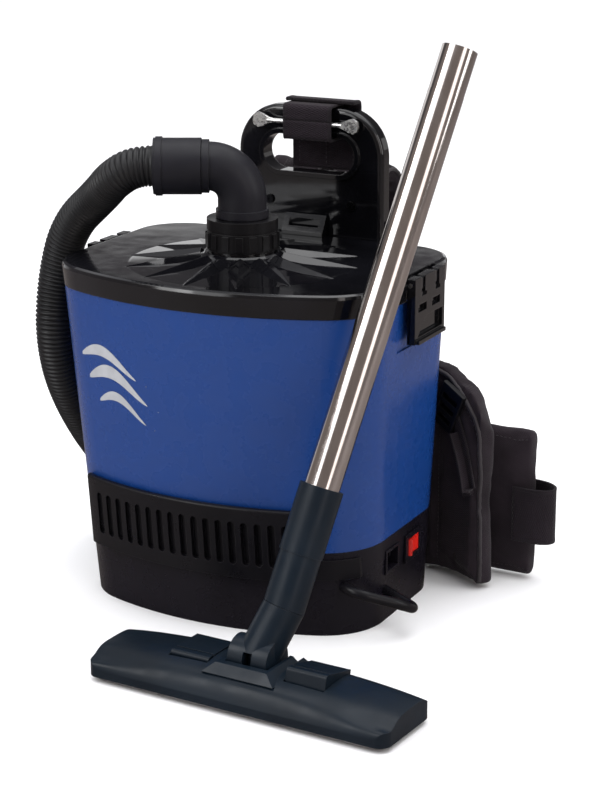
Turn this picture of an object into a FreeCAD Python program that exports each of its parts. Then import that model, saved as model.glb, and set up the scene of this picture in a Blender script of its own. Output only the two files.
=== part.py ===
import FreeCAD, Part
import math
import os

# Backpack vacuum cleaner with hose, wand, floor tool and carrying harness.
# Millimetres, +Z up.  X to the right, Y towards the harness, origin at the middle of the flat underside.

V = FreeCAD.Vector
X, Y, Z = V(1, 0, 0), V(0, 1, 0), V(0, 0, 1)

# ---- driving dimensions -------------------------------------------------------------------------
TOP_Z = 330.0                   # rim of the lid above the floor
HALF_LOW, HALF_TOP = 149.0, 164.0       # half width of the housing at the floor and at the rim
FRONT_LOW, FRONT_TOP = -93.5, -128.5    # front of the housing at the floor and at the rim
BACK_LOW, BACK_TOP = 121.0, 128.0       # back of the housing
FRONT_R = 315.0                 # bow of the front face
CORNER_R, BACK_R = 62.0, 50.0   # front and back corners
WALL = 4.0
SPLIT_Z = 84.0                  # joint between motor base and drum
LID_Z = 308.0                   # joint between drum and lid
GAP = 0.3                       # clearance between separate bodies

INLET = V(0, -10, 0)            # axis of the hose inlet in the lid
ELBOW_Z = 419.5                 # height of the elbow's level leg
ELBOW_TURN = 26.5               # the elbow points left and this far towards the front
ELBOW_R, ELBOW_BEND = 22.5, 30.0
CUFF_R, CUFF_FROM, CUFF_TO = 26.0, 37.0, 81.0

HOSE_R = 19.0                   # 38 mm over the corrugations
TUBE_R, TUBE_WALL = 16.0, 1.0   # 32 mm chromed tube

PLATE_Y, PLATE_T = 130.0, 16.0  # front of the back plate and its thickness
PLATE_HALF, PLATE_TOP = 78.0, 455.0

MOTOR = V(0, 20, 0)             # motor axis
TOOL_AT, TOOL_YAW = V(124.5, -227.0, 0), -4.6   # middle of the floor tool and its turn
TOOL_LEN, TOOL_DEEP = 300.0, 82.0
PIVOT = V(0, 4, 38)             # tilt axis of the floor tool, in the tool's own frame
SEAM = V(139.9, -202.3, 79.6)   # middle of the swivel seam
LEAN = V(0.151, 0.372, 0.916)   # direction of the wand
NECK_LEN, NECK_R, SPIGOT_R = 108.0, 18.6, 15.4
WAND_FROM, WAND_TO = 50.0, 502.0        # the tube's ends, measured from the seam
SWAGE_R, SWAGE_LEN = 15.8, 40.0         # its last part is drawn in, to slip into the next tube


# ---- helpers ------------------------------------------------------------------------------------
def box(x0, x1, y0, y1, z0, z1):
    return Part.makeBox(x1 - x0, y1 - y0, z1 - z0, V(x0, y0, z0))


def rod(r, a, b):
    return Part.makeCylinder(r, (b - a).Length, a, b - a)


def pipe(ro, ri, a, b):
    return rod(ro, a, b).cut(rod(ri, a, b))


def prism(points, direction):
    face = Part.Face(Part.makePolygon(points + [points[0]]))
    return face.extrude(direction)


def rounded(shape, r, keep):
    edges = [e for e in shape.Edges if keep(e)]
    return shape.makeFillet(r, edges) if edges else shape


def upright(e):
    a, b = e.Vertexes[0].Point, e.Vertexes[-1].Point
    return abs(a.x - b.x) + abs(a.y - b.y) < 1e-4 and abs(a.z - b.z) > 1


def one(shapes):
    return shapes[0].multiFuse(shapes[1:]).removeSplitter() if len(shapes) > 1 else shapes[0]


def around(shape, n, at, axis=Z, start=0.0):
    out = []
    for i in range(n):
        s = shape.copy()
        s.rotate(at, axis, start + 360.0 * i / n)
        out.append(s)
    return out


def mirror_x(shape):
    return shape.mirror(V(0, 0, 0), X)


def outline(z, grow=0.0):
    """The housing's outline at height z: bowed front, flat sides and back, round corners."""
    t = z / TOP_Z
    a = HALF_LOW + (HALF_TOP - HALF_LOW) * t + grow
    yf = FRONT_LOW + (FRONT_TOP - FRONT_LOW) * t - grow
    yb = BACK_LOW + (BACK_TOP - BACK_LOW) * t + grow
    big, rc, rb = FRONT_R + grow, CORNER_R + grow, BACK_R + grow
    yc = yf + big
    cx = a - rc
    cy = yc - math.sqrt((big - rc) ** 2 - cx ** 2)
    ang = math.atan2(cx, yc - cy)
    mid = (ang + math.pi / 2) / 2
    h = math.sqrt(0.5)

    def p(x, y):
        return V(x, y, z)

    right = [
        p(big * math.sin(ang), yc - big * math.cos(ang)),
        p(cx + rc * math.sin(mid), cy - rc * math.cos(mid)),
        p(a, cy), p(a, yb - rb),
        p(a - rb + rb * h, yb - rb + rb * h), p(a - rb, yb)]
    left = [p(-q.x, q.y) for q in right]
    return Part.Wire([
        Part.Arc(left[0], p(0, yf), right[0]).toShape(),
        Part.Arc(right[0], right[1], right[2]).toShape(),
        Part.LineSegment(right[2], right[3]).toShape(),
        Part.Arc(right[3], right[4], right[5]).toShape(),
        Part.LineSegment(right[5], left[5]).toShape(),
        Part.Arc(left[5], left[4], left[3]).toShape(),
        Part.LineSegment(left[3], left[2]).toShape(),
        Part.Arc(left[2], left[1], left[0]).toShape()])


def loft(z0, g0, z1, g1):
    return Part.makeLoft([outline(z0, g0), outline(z1, g1)], True, True)


def path_wire(points, report=None):
    """Straight runs joined by tangent arcs, each arc as large as the shorter run beside it allows."""
    edges, here = [], points[0]
    for i in range(1, len(points) - 1):
        a, b, c = points[i - 1], points[i], points[i + 1]
        u, w = (b - a).normalize(), (c - b).normalize()
        half = math.acos(max(-1.0, min(1.0, u.dot(w)))) / 2
        run = 0.45 * min((b - a).Length, (c - b).Length)
        radius = run / math.tan(half)
        start, end = b - u * run, b + w * run
        inward = (w - u).normalize()
        centre = b + inward * (radius / math.cos(half))
        if report:
            print("%s arc %d: radius %.1f mm, turn %.1f deg" % (report, i, radius, math.degrees(2 * half)))
        edges.append(Part.LineSegment(here, start).toShape())
        edges.append(Part.Arc(start, centre - inward * radius, end).toShape())
        here = end
    edges.append(Part.LineSegment(here, points[-1]).toShape())
    return Part.Wire(edges)


def sweep(points, r, report=None):
    wire = path_wire(points, report)
    ring = Part.Wire(Part.makeCircle(r, points[0], points[1] - points[0]))
    solid = wire.makePipeShell([ring], True, True)
    if report:
        print("%s: volume %.0f, section x length %.0f" % (report, solid.Volume, math.pi * r * r * wire.Length))
    return solid


def save(name, *shapes):
    solids = [s for shape in shapes for s in shape.Solids]
    out = solids[0] if len(solids) == 1 else Part.makeCompound(solids)
    assert all(s.isValid() for s in solids), name
    out.exportStep("parts/%s.step" % name)


def screw(at, axis, head_r=3.6, head_h=2.2, shank_r=2.0, length=12.0):
    """Pan-head screw: at is the middle of the head's seat, axis points out of the head."""
    n = V(axis).normalize()
    body = rod(head_r, at, at + n * head_h).fuse(rod(shank_r, at - n * length, at))
    slot = rod(1.2, at + n * (head_h - 0.9), at + n * (head_h + 1))
    return body.cut(slot).removeSplitter()


os.makedirs("parts", exist_ok=True)

# ---- motor base ---------------------------------------------------------------------------------
base = loft(0, 0, SPLIT_Z - GAP, 0)
base = base.cut(loft(-1, -WALL, SPLIT_Z - GAP - WALL, -WALL))
base = base.cut(rod(66, MOTOR + Z * 70, MOTOR + Z * 90))
SWITCH_Y, SWITCH_Z = 44.0, 59.0
base = base.cut(box(140, 160, SWITCH_Y - 16, SWITCH_Y + 16, SWITCH_Z - 11, SWITCH_Z + 11))
INLET_Y, INLET_Z = -4.0, 60.0
base = base.cut(box(140, 160, INLET_Y - 15, INLET_Y + 15, INLET_Z - 12, INLET_Z + 12))
for x in (-60, 60):
    base = base.cut(Part.makeCylinder(2.1, 40, V(x, 100, 60), Y))
BOSSES = [(-118, -40), (118, -40), (-118, 90), (118, 90), (-40, -70), (40, -70)]
bosses = [pipe(5.0, 1.9, V(bx, by, 4.2), V(bx, by, SPLIT_Z - 4.2)) for bx, by in BOSSES]
save("motor_base", base.multiFuse(bosses).removeSplitter())

cover = loft(0, -WALL - GAP, 4, -WALL - GAP)
for bx, by in BOSSES:
    cover = cover.cut(rod(2.3, V(bx, by, -1), V(bx, by, 5))).cut(rod(4.2, V(bx, by, -1), V(bx, by, 2.6)))
for i in range(9):
    x = -48 + 12 * i
    cover = cover.cut(box(x, x + 5, 0, 46, -1, 5))
save("bottom_cover", cover)
save("bottom_screws", *[screw(V(bx, by, 2.6), V(0, 0, -1), 3.8, 2.2, 1.85, 14) for bx, by in BOSSES])

# ---- drum ---------------------------------------------------------------------------------------
drum = loft(SPLIT_Z, 0, LID_Z, 0).cut(loft(SPLIT_Z + 6, -WALL, LID_Z + 2, -WALL))
drum = drum.cut(rod(66, MOTOR + Z * 80, MOTOR + Z * 92))
for x in (-60, 60):
    drum = drum.cut(Part.makeCylinder(2.1, 40, V(x, 100, 200), Y))
LATCH_Y0, LATCH_Y1 = -4.0, 64.0
for side in (1, -1):
    channel = box(158.2, 170, LATCH_Y0 - 14, LATCH_Y1 - 24, 262, 312)
    drum = drum.cut(channel if side > 0 else mirror_x(channel))
    pad = box(156.0, 159.0, LATCH_Y0 - 16, LATCH_Y1 - 22, 258, 306)
    drum = drum.fuse(pad if side > 0 else mirror_x(pad))
save("drum_shell", drum.removeSplitter())

# ---- exhaust grille -----------------------------------------------------------------------------
grille = loft(56, 7, 126, 7).cut(loft(55, GAP, 127, GAP))
grille = grille.common(box(-128, 103, -140, -52, 50, 130))
grille = rounded(grille, 2.0, lambda e: e.BoundBox.ZMin > 125.5 and e.BoundBox.YMin < -100)
SLOT_MID, SLOT_HALF, SLOT_LEAN = 91.0, 18.0, (FRONT_TOP - FRONT_LOW) / TOP_Z


def front_y(x, z, grow):
    """The y of the bowed front, grown outwards, at a given x and height."""
    t = z / TOP_Z
    big = FRONT_R + grow
    yc = FRONT_LOW + (FRONT_TOP - FRONT_LOW) * t - grow + big
    rc = CORNER_R + grow
    cx = HALF_LOW + (HALF_TOP - HALF_LOW) * t + grow - rc
    cy = yc - math.sqrt((big - rc) ** 2 - cx ** 2)
    if abs(x) > big * cx / (big - rc):
        return cy - math.sqrt(rc ** 2 - (abs(x) - cx) ** 2)
    return yc - math.sqrt(big ** 2 - x ** 2)


for i in range(17):
    x = -115 + 12.5 * i
    deep = front_y(x + 3.5, SLOT_MID, 7) + 4.6
    slot = box(x, x + 7.0, deep - 40, deep, SLOT_MID - SLOT_HALF, SLOT_MID + SLOT_HALF)
    for z in (SLOT_MID - SLOT_HALF, SLOT_MID + SLOT_HALF):
        slot = slot.fuse(Part.makeCylinder(3.5, 40, V(x + 3.5, deep - 40, z), Y))
    slot.rotate(V(x, deep, SLOT_MID), X, math.degrees(math.asin(-SLOT_LEAN)))
    grille = grille.cut(slot)
save("vent_grille", grille)

# ---- fittings on the base's right side ----------------------------------------------------------
def side_x(z):
    return HALF_LOW + (HALF_TOP - HALF_LOW) * z / TOP_Z


sx = side_x(SWITCH_Z)
bezel = box(sx - 8, sx + 2.6, SWITCH_Y - 15.7, SWITCH_Y + 15.7, SWITCH_Z - 10.7, SWITCH_Z + 10.7)
lip = box(sx + 0.6, sx + 2.6, SWITCH_Y - 19, SWITCH_Y + 19, SWITCH_Z - 14, SWITCH_Z + 14)
well = box(sx - 7, sx + 4, SWITCH_Y - 13.2, SWITCH_Y + 13.2, SWITCH_Z - 8.8, SWITCH_Z + 8.8)
lip = lip.cut(loft(40, 0.1, 80, 0.1))
save("switch_bezel", bezel.cut(loft(40, -WALL + 0.1, 80, -WALL + 0.1)).fuse(
    bezel.common(loft(40, -1, 80, -1))).fuse(lip).cut(well).removeSplitter())
ROCK = V(sx - 2.0, SWITCH_Y, SWITCH_Z)
rocker = prism([V(sx - 5, SWITCH_Y - 12.6, SWITCH_Z - 8.2), V(sx + 6.0, SWITCH_Y - 12.2, SWITCH_Z - 8.2),
                V(sx + 1.0, SWITCH_Y, SWITCH_Z - 8.2), V(sx + 1.4, SWITCH_Y + 12.2, SWITCH_Z - 8.2),
                V(sx - 5, SWITCH_Y + 12.6, SWITCH_Z - 8.2)], Z * 16.4)
rocker = rocker.common(rod(13.0, ROCK - Z * 9, ROCK + Z * 9))
save("rocker_switch", rocker)

ix = side_x(INLET_Z)
inlet = box(ix - 22, ix + 1.8, INLET_Y - 14.7, INLET_Y + 14.7, INLET_Z - 11.7, INLET_Z + 11.7)
inlet = inlet.cut(box(ix - 17, ix + 3, INLET_Y - 12, INLET_Y + 12, INLET_Z - 9, INLET_Z + 9))
for dy, dz in ((-6, 1.5), (6, 1.5), (0, -3.5)):
    contact = box(ix - 18, ix - 4, -1, 1, -2, 2)
    contact.translate(V(0, INLET_Y + dy, INLET_Z + dz))
    inlet = inlet.fuse(contact)
save("power_inlet", inlet.removeSplitter())

panel = loft(57, 1.8, 77, 1.8).cut(loft(56, 0.1, 78, 0.1)).common(box(106, 144, -110, -42, 57, 77))
save("access_cover", panel)

hook_path = [V(122, -58, 49), V(147, -75, 49), V(184, -50, 35), V(189, -28, 24), V(149.5, -14, 32)]
hook = sweep(hook_path, 5.0)
hook = hook.cut(loft(2, 0.05, 82, 0.05))
save("cable_hook", hook)

# ---- motor --------------------------------------------------------------------------------------
case = rod(61, MOTOR + Z * 16, MOTOR + Z * 112).cut(rod(58, MOTOR + Z * 19, MOTOR + Z * 109))
case = case.cut(rod(22, MOTOR + Z * 108, MOTOR + Z * 113)).cut(rod(8.1, MOTOR + Z * 10, MOTOR + Z * 20))
for v in around(box(56, 63, 15, 25, 36, 62), 10, MOTOR):
    case = case.cut(v)
stator = pipe(57.0, 31.0, MOTOR + Z * 30, MOTOR + Z * 72)
save("motor_casing", case)
save("motor_stator", stator)
ring = pipe(65.0, 61.0, MOTOR + Z * 74, MOTOR + Z * 96)
save("motor_seal_ring", ring)
foot = pipe(40, 8.1, MOTOR + Z * 4.2, MOTOR + Z * 15.9)
foot = foot.fuse(pipe(7.9, 4.05, MOTOR + Z * 4.2, MOTOR + Z * 18.5))
save("motor_foot", foot.removeSplitter())
shaft = rod(4.0, MOTOR + Z * 8, MOTOR + Z * 106).fuse(rod(29, MOTOR + Z * 34, MOTOR + Z * 68))
shaft = shaft.fuse(rod(13, MOTOR + Z * 68, MOTOR + Z * 84))
save("armature", shaft.removeSplitter())
fan = pipe(54, 4.0, MOTOR + Z * 87, MOTOR + Z * 89)
fan = fan.fuse(pipe(54, 20, MOTOR + Z * 102, MOTOR + Z * 104))
fan = fan.fuse(pipe(11, 4.0, MOTOR + Z * 89, MOTOR + Z * 100))
blade = box(22, 53, 19, 21, 88, 103)
blade.rotate(MOTOR + V(22, 0, 0), Z, 28)
fan = fan.multiFuse(around(blade, 9, MOTOR))
save("impeller", fan.removeSplitter())

# ---- filter and dust bag ------------------------------------------------------------------------
frame = loft(118, -WALL - 8, 124, -WALL - 8).cut(loft(117, -WALL - 22, 125, -WALL - 22))
bars = [box(-140, 140, y - 2, y + 2, 119, 123).common(loft(118, -WALL - 12, 124, -WALL - 12))
        for y in (-60, -20, 20, 60)]
legs = [rod(4, V(x, y, 90), V(x, y, 119)) for x, y in ((-115, -55), (115, -55), (-115, 85), (115, 85))]
save("filter_frame", frame.multiFuse(bars + legs).removeSplitter())
cloth = loft(124.1, -WALL - 9, 132, -WALL - 12)
save("filter_cloth", cloth)
bag = loft(136, -34, 190, -20).fuse(Part.makeLoft([outline(190, -20), outline(285, -40)], True, True))
save("dust_bag", bag.removeSplitter())
save("bag_collar", pipe(44, 24.2, INLET + Z * 285.1, INLET + Z * 289))

# ---- lid ----------------------------------------------------------------------------------------
lid = loft(LID_Z + GAP, 0.8, TOP_Z - 4, 0.8)
crown = Part.makeLoft([outline(TOP_Z - 4, 0.8), outline(TOP_Z - 1.2, -0.6), outline(TOP_Z, -3.6)],
                      True, True)
lid = lid.fuse(crown)
lid = lid.cut(loft(LID_Z - 2, -WALL - 0.4, TOP_Z - 8, -WALL - 0.4))
profile = [(27.0, 322), (27.0, 341), (35.0, 341), (37.0, 339.3), (41.5, 337.2), (49, 335.2), (62, 333.2),
           (80, 331.6), (104, 330.2), (112, 329.5), (112, 324), (34, 324), (34, 322)]
pts = [INLET + V(rr, 0, zz) for rr, zz in profile]
bell = Part.Face(Part.makePolygon(pts + [pts[0]])).revolve(INLET, Z, 360)
lid = lid.fuse(bell)
FINS, FIN_IN, FIN_OUT = 14, V(39.5, 0, 341.2), V(109, 0, 330.4)     # leaf-shaped fins round the bell
crest = INLET + FIN_IN
fin = prism([crest, crest + V(0, 26, -12), crest + V(0, -26, -12)], FIN_OUT - FIN_IN)
fin = fin.common(box(-5, 130, -40, 40, 326, 345))
lid = lid.multiFuse(around(fin, FINS, INLET, Z, 12.0))
lid = lid.cut(rod(27.0, INLET + Z * 318, INLET + Z * 352))
for side in (1, -1):
    notch = box(160.5, 170, LATCH_Y0 - 0.6, LATCH_Y1 + 0.6, 300, 331)
    lid = lid.cut(notch if side > 0 else mirror_x(notch))
    for y in (LATCH_Y0 + 14, LATCH_Y1 - 22):
        lug = box(155, 171.2, y, y + 8, 317, 327.5)
        lug = lug.cut(rod(2.05, V(167.5, y - 1, 323), V(167.5, y + 9, 323)))
        lid = lid.fuse(lug if side > 0 else mirror_x(lug))
save("lid_cover", lid.removeSplitter())
seal = loft(LID_Z + GAP + 0.2, -WALL - 0.5, LID_Z + 5, -WALL - 0.5)
seal = seal.cut(loft(LID_Z, -WALL - 6, LID_Z + 6, -WALL - 6))
save("lid_seal", seal)
spigot = pipe(27.0, 23.0, INLET + Z * 289.5, INLET + Z * 356.5)
spigot = spigot.fuse(pipe(31.5, 27.0, INLET + Z * 341, INLET + Z * 343))
save("inlet_spigot", spigot.removeSplitter())
pins = [rod(2.0, V(167.5, LATCH_Y0 + 2, 323), V(167.5, LATCH_Y1 - 2, 323))]
save("latch_pins", *(pins + [mirror_x(p) for p in pins]))

# ---- inlet ring and elbow -----------------------------------------------------------------------
ring = pipe(33.0, 28.2, INLET + Z * 343.4, INLET + Z * 367)
ring = ring.fuse(pipe(33.0, 23.2, INLET + Z * 367, INLET + Z * 372))
ring = ring.cut(pipe(34.0, 32.2, INLET + Z * 360.5, INLET + Z * 362))
ribs = around(box(31.5, 34.2, -13.5, -6.5, 345.5, 359), 16, INLET)
save("inlet_ring", ring.multiFuse(ribs).removeSplitter())

turn = math.radians(180 + ELBOW_TURN)
OUT = V(math.cos(turn), math.sin(turn), 0)
e0, e1 = INLET + Z * 356.9, INLET + Z * (ELBOW_Z - ELBOW_BEND)
corner = INLET + Z * ELBOW_Z
arc_mid = corner + (OUT - Z) * ELBOW_BEND + (Z - OUT).normalize() * ELBOW_BEND
e2 = corner + OUT * ELBOW_BEND
e3 = corner + OUT * (CUFF_TO - 12)
elbow_wire = Part.Wire([Part.LineSegment(e0, e1).toShape(), Part.Arc(e1, arc_mid, e2).toShape(),
                        Part.LineSegment(e2, e3).toShape()])


def along(wire, r):
    start = wire.Edges[0].Vertexes[0].Point
    return wire.makePipeShell([Part.Wire(Part.makeCircle(r, start, Z))], True, True)


elbow = along(elbow_wire, ELBOW_R).fuse(rod(27.6, e0, e0 + Z * 8))
elbow = elbow.fuse(rod(24.4, INLET + Z * 372.6, INLET + Z * 380))
elbow = elbow.fuse(rod(24.6, corner + OUT * 30, corner + OUT * 36.6))
elbow = elbow.cut(along(elbow_wire, ELBOW_R - 3))
save("elbow_pipe", elbow.removeSplitter())
c0, c1 = corner + OUT * CUFF_FROM, corner + OUT * CUFF_TO
cuff = rod(CUFF_R, c0, c1).cut(rod(ELBOW_R + 0.2, c0, corner + OUT * (CUFF_TO - 11.5)))
cuff = cuff.cut(rod(16.0, c0, c1))
cuff = cuff.fuse(pipe(CUFF_R + 1.2, CUFF_R - 1, c1 - OUT * 8, c1 - OUT * 2))
save("hose_cuff", cuff.removeSplitter())

# ---- hose: down the left side, over the floor and round behind the harness ----------------------
HOSE = [
    c1 + OUT * 0.1,
    V(-88.8, -54.3, 419.5),
    V(-114.5, -51.5, 401.6),
    V(-144.5, -23.0, 388.0),
    V(-188.5, -29.0, 342.0),
    V(-192.5, -42.0, 245.0),
    V(-190.0, -24.0, 194.0),
    V(-200.0, 10.0, 155.0),
    V(-209.0, 77.0, 95.0),
    V(-210.0, 165.0, 19.4),
    V(-214.0, 290.0, 19.4),
    V(-178.0, 395.0, 19.4),
    V(-90.0, 458.0, 19.4),
    V(15.0, 452.0, 20.4),
    V(84.0, 378.0, 23.8),
]
save("hose", sweep(HOSE, HOSE_R, "hose"))
end, before = HOSE[-1], HOSE[-2]
go = (end - before).normalize()
h1 = end + go * 46
end_cuff = pipe(23.0, 16.05, end, h1).fuse(pipe(21, 15.0, end, end + go * 5))
save("hose_end_cuff", end_cuff.removeSplitter())
bend = [end + go * 6, end + go * 105, V(168, 228, 21)]
hand = sweep(bend, TUBE_R).cut(sweep(bend, TUBE_R - TUBE_WALL))
save("hand_tube", hand)
a, b = end + go * 50, end + go * 66
save("air_slider", pipe(TUBE_R + 3.2, TUBE_R + 0.15, a, b).fuse(
    rod(4, (a + b) * 0.5 + Z * (TUBE_R + 1), (a + b) * 0.5 + Z * (TUBE_R + 6))).removeSplitter())

# ---- lid latches --------------------------------------------------------------------------------
latch = box(164.6, 172.5, LATCH_Y0, LATCH_Y1, 268, 329)
latch = latch.fuse(Part.makeCylinder(5.0, LATCH_Y1 - LATCH_Y0, V(167.5, LATCH_Y0, 323), Y))
latch = latch.cut(Part.makeCylinder(2.1, LATCH_Y1 - LATCH_Y0 + 2, V(167.5, LATCH_Y0 - 1, 323), Y))
for y in (LATCH_Y0 + 14, LATCH_Y1 - 22):
    latch = latch.cut(box(150, 176, y - 0.5, y + 8.5, 314, 332))
latch = latch.cut(prism([V(168.6, LATCH_Y0 + 6, 274), V(168.6, LATCH_Y1 - 5, 274),
                         V(168.6, LATCH_Y1 - 5, 291), V(168.6, LATCH_Y0 + 26, 291)], X * 8))
for y in (LATCH_Y0 + 7, LATCH_Y0 + 38):
    latch = latch.cut(box(169.0, 175, y, y + 19, 297, 304))
    latch = latch.cut(box(170.4, 175, y + 8, y + 19, 311, 314.5))
latch = latch.fuse(box(172, 175.5, LATCH_Y0 + 3, LATCH_Y1 - 3, 268, 271.5))
latch = latch.removeSplitter()
save("latch_right", latch)
save("latch_left", mirror_x(latch))

# ---- back plate ---------------------------------------------------------------------------------
h = PLATE_HALF
r = 46.0
k = r * (1 - math.sqrt(0.5))


def pl(x, z, y=PLATE_Y):
    return V(x, y, z)


wire = Part.Wire([
    Part.LineSegment(pl(-h, 24), pl(h, 24)).toShape(),
    Part.LineSegment(pl(h, 24), pl(h, PLATE_TOP - r)).toShape(),
    Part.Arc(pl(h, PLATE_TOP - r), pl(h - k, PLATE_TOP - k), pl(h - r, PLATE_TOP)).toShape(),
    Part.LineSegment(pl(h - r, PLATE_TOP), pl(-h + r, PLATE_TOP)).toShape(),
    Part.Arc(pl(-h + r, PLATE_TOP), pl(-h + k, PLATE_TOP - k), pl(-h, PLATE_TOP - r)).toShape(),
    Part.LineSegment(pl(-h, PLATE_TOP - r), pl(-h, 24)).toShape()])
plate = Part.Face(wire).extrude(Y * PLATE_T)
plate = rounded(plate, 5.0, lambda e: e.BoundBox.YMax < PLATE_Y + 0.1 and e.BoundBox.ZMax > 30)
SLOT_Z, SLOT_R, SLOT_X = 409.0, 18.0, 31.0
slot = box(-SLOT_X, SLOT_X, 120, 160, SLOT_Z - SLOT_R, SLOT_Z + SLOT_R)
rim = box(-SLOT_X, SLOT_X, PLATE_Y - 2.5, PLATE_Y + 1, SLOT_Z - SLOT_R - 5, SLOT_Z + SLOT_R + 5)
for x in (-SLOT_X, SLOT_X):
    slot = slot.fuse(Part.makeCylinder(SLOT_R, 40, V(x, 120, SLOT_Z), Y))
    rim = rim.fuse(Part.makeCylinder(SLOT_R + 5, 3.5, V(x, PLATE_Y - 2.5, SLOT_Z), Y))
plate = plate.fuse(rim).cut(slot)
SCREWS = [(-43, 361), (45, 361), (-60, 200), (60, 200), (-60, 60), (60, 60)]
for x, z in SCREWS[2:]:
    plate = plate.fuse(Part.makeCylinder(8.0, 14, V(x, PLATE_Y - 13, z), Y).cut(loft(2, 0.05, 300, 0.05)))
for x, z in SCREWS:
    plate = plate.cut(Part.makeCylinder(2.1, 40, V(x, 120, z), Y))
    plate = plate.cut(Part.makeCylinder(5.0, 30, V(x, PLATE_Y + 7, z), Y)) if z < 300 else plate
save("back_plate", plate.removeSplitter())
save("plate_screws", *([screw(V(x, PLATE_Y, z), V(0, -1, 0), 4.4, 2.4, 2.0, 14) for x, z in SCREWS[:2]] +
                       [screw(V(x, PLATE_Y + 7, z), Y, 4.4, 2.4, 2.0, 18) for x, z in SCREWS[2:]]))
catch = prism([V(-24, PLATE_Y - 3, TOP_Z + 0.1), V(-24, PLATE_Y - 13, TOP_Z + 0.1),
               V(-24, PLATE_Y - 13, 334), V(-24, PLATE_Y - 3, 350)], X * 44)
save("lid_catch", catch.cut(box(-18, 14, PLATE_Y - 10, PLATE_Y - 5.5, 333, 352)))

# ---- harness ------------------------------------------------------------------------------------
def wing(tip_x, way):
    """Flattened drop-shaped end of the strap rod: broad at the tip, drawn out into the rod."""
    drop = [(0, 0), (1.5, 5.2), (6, 7.6), (11, 6.2), (17, 3.4), (22, 2.4), (22, 0)]
    pts = [V(tip_x + way * dx, 123.3, 440 + dr) for dx, dr in drop]
    wing_solid = Part.Face(Part.makePolygon(pts + [pts[0]])).revolve(V(0, 123.3, 440), X, 360)
    return wing_solid.common(box(-80, 80, 121.4, 125.2, 420, 460))


save("strap_rod", one([Part.makeCylinder(2.4, 80, V(-42, 123.3, 440), X), wing(-58, 1), wing(56, -1)]))

wrap = box(-24, 28, 119.4, PLATE_Y + PLATE_T + 2.3, 422.8, 458.0).cut(
    box(-25, 29, 121.4, PLATE_Y + PLATE_T + 0.3, 425.0, PLATE_TOP + 0.3))
wrap = wrap.cut(Part.makeCylinder(2.5, 60, V(-28, 123.3, 440), X))
save("strap_wrap", wrap)

top_strap = box(-28, 46, 148.8, 152.4, 392, 461.8).fuse(box(-28, 46, 134, 152.4, 458.4, 461.8))
save("top_strap", top_strap.removeSplitter())

PAD_Y = PLATE_Y + PLATE_T + 0.3
back_pad = rounded(box(-96, 96, PAD_Y + 5, PAD_Y + 27, 2, 345), 9.0, lambda e: True)
bolster = rounded(box(-40, 40, PAD_Y + 24, PAD_Y + 36, 60, 330), 5.0, lambda e: True)
spacer = box(-60, 60, PAD_Y, PAD_Y + 8, 90, 180)
save("back_pad", back_pad.fuse(bolster).fuse(spacer).removeSplitter())


def strap_path(y0):
    """Side view of a shoulder strap: off the plate below its slot, over the shoulder and down."""
    return [V(0, y0, 366), V(0, y0 + 34, 400), V(0, y0 + 76, 366), V(0, y0 + 88, 290),
            V(0, y0 + 78, 190), V(0, y0 + 42, 120)]


def band(points, x0, width, t):
    """Flat padded band: the side-view path given a thickness t, then a width along X."""
    top = path_wire([p + V(x0, 0, 0) for p in points])
    profile = Part.Wire(Part.makePolygon([
        points[0] + V(x0, 0, -t / 2), points[0] + V(x0 + width, 0, -t / 2),
        points[0] + V(x0 + width, 0, t / 2), points[0] + V(x0, 0, t / 2), points[0] + V(x0, 0, -t / 2)]))
    return top.makePipeShell([profile], True, True)


STRAP_Y = PAD_Y + 0.2
left = band(strap_path(STRAP_Y), -66, 60, 12)
save("shoulder_strap_left", left)
save("shoulder_strap_right", band(strap_path(STRAP_Y), 6, 60, 12))


def wall_strip(points, t, z0, z1):
    """Upright padded panel following a plan path."""
    base_points = [V(p.x, p.y, z0) for p in points]
    wire = path_wire(base_points)
    d = (base_points[1] - base_points[0]).normalize()
    n = V(-d.y, d.x, 0) * (t / 2)
    p = base_points[0]
    prof = Part.makePolygon([p - n, p + n, p + n + Z * (z1 - z0), p - n + Z * (z1 - z0), p - n])
    return wire.makePipeShell([Part.Wire(prof)], True, True)


sleeve = wall_strip([V(104, PAD_Y + 16, 0), V(152, 160, 0), V(233, 153, 0)], 22, 2, 154)
mouth = box(212, 260, 120, 190, 14, 144).common(
    wall_strip([V(104, PAD_Y + 16, 0), V(152, 160, 0), V(235, 153, 0)], 12, 4, 154))
save("belt_sleeve_right", sleeve.cut(mouth))
hip = wall_strip([V(126, 136.8, 0), V(168, 126, 0), V(206, 101, 0)], 22, 2, 216)
hip = hip.cut(prism([V(60, 60, 300), V(60, 60, 216.5), V(150, 60, 216.5), V(190, 60, 196),
                     V(214, 60, 150), V(230, 60, 150), V(230, 60, 300)], Y * 130))
save("hip_pad_right", hip)
loop = wall_strip([V(222, 136.6, 0), V(240, 138, 0), V(256, 146, 0)], 3.2, 42, 98)
loop2 = wall_strip([V(256, 149.6, 0), V(241, 168.5, 0), V(222, 170, 0)], 3.2, 42, 98)
save("belt_loop_right", loop.fuse(loop2).fuse(box(252.5, 257.5, 144, 151, 42, 98)).removeSplitter())
lock = box(-15, 15, -3, 3, -22, 22)
for z in (-15, -4, 7):
    lock = lock.cut(box(-10.5, 10.5, -5, 5, z, z + 6))
lock = rounded(lock, 1.2, lambda e: e.BoundBox.DiagonalLength > 25)
lock.rotate(V(0, 0, 0), Y, 24)
lock.rotate(V(0, 0, 0), Z, -24)
lock.translate(V(160, 109.5, 178))
save("ladder_lock_right", lock)
strip = wall_strip([V(173, 107.6, 0), V(187, 98.4, 0), V(198, 91.2, 0)], 2.2, 96, 152)
save("strap_tail_right", strip)

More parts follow.
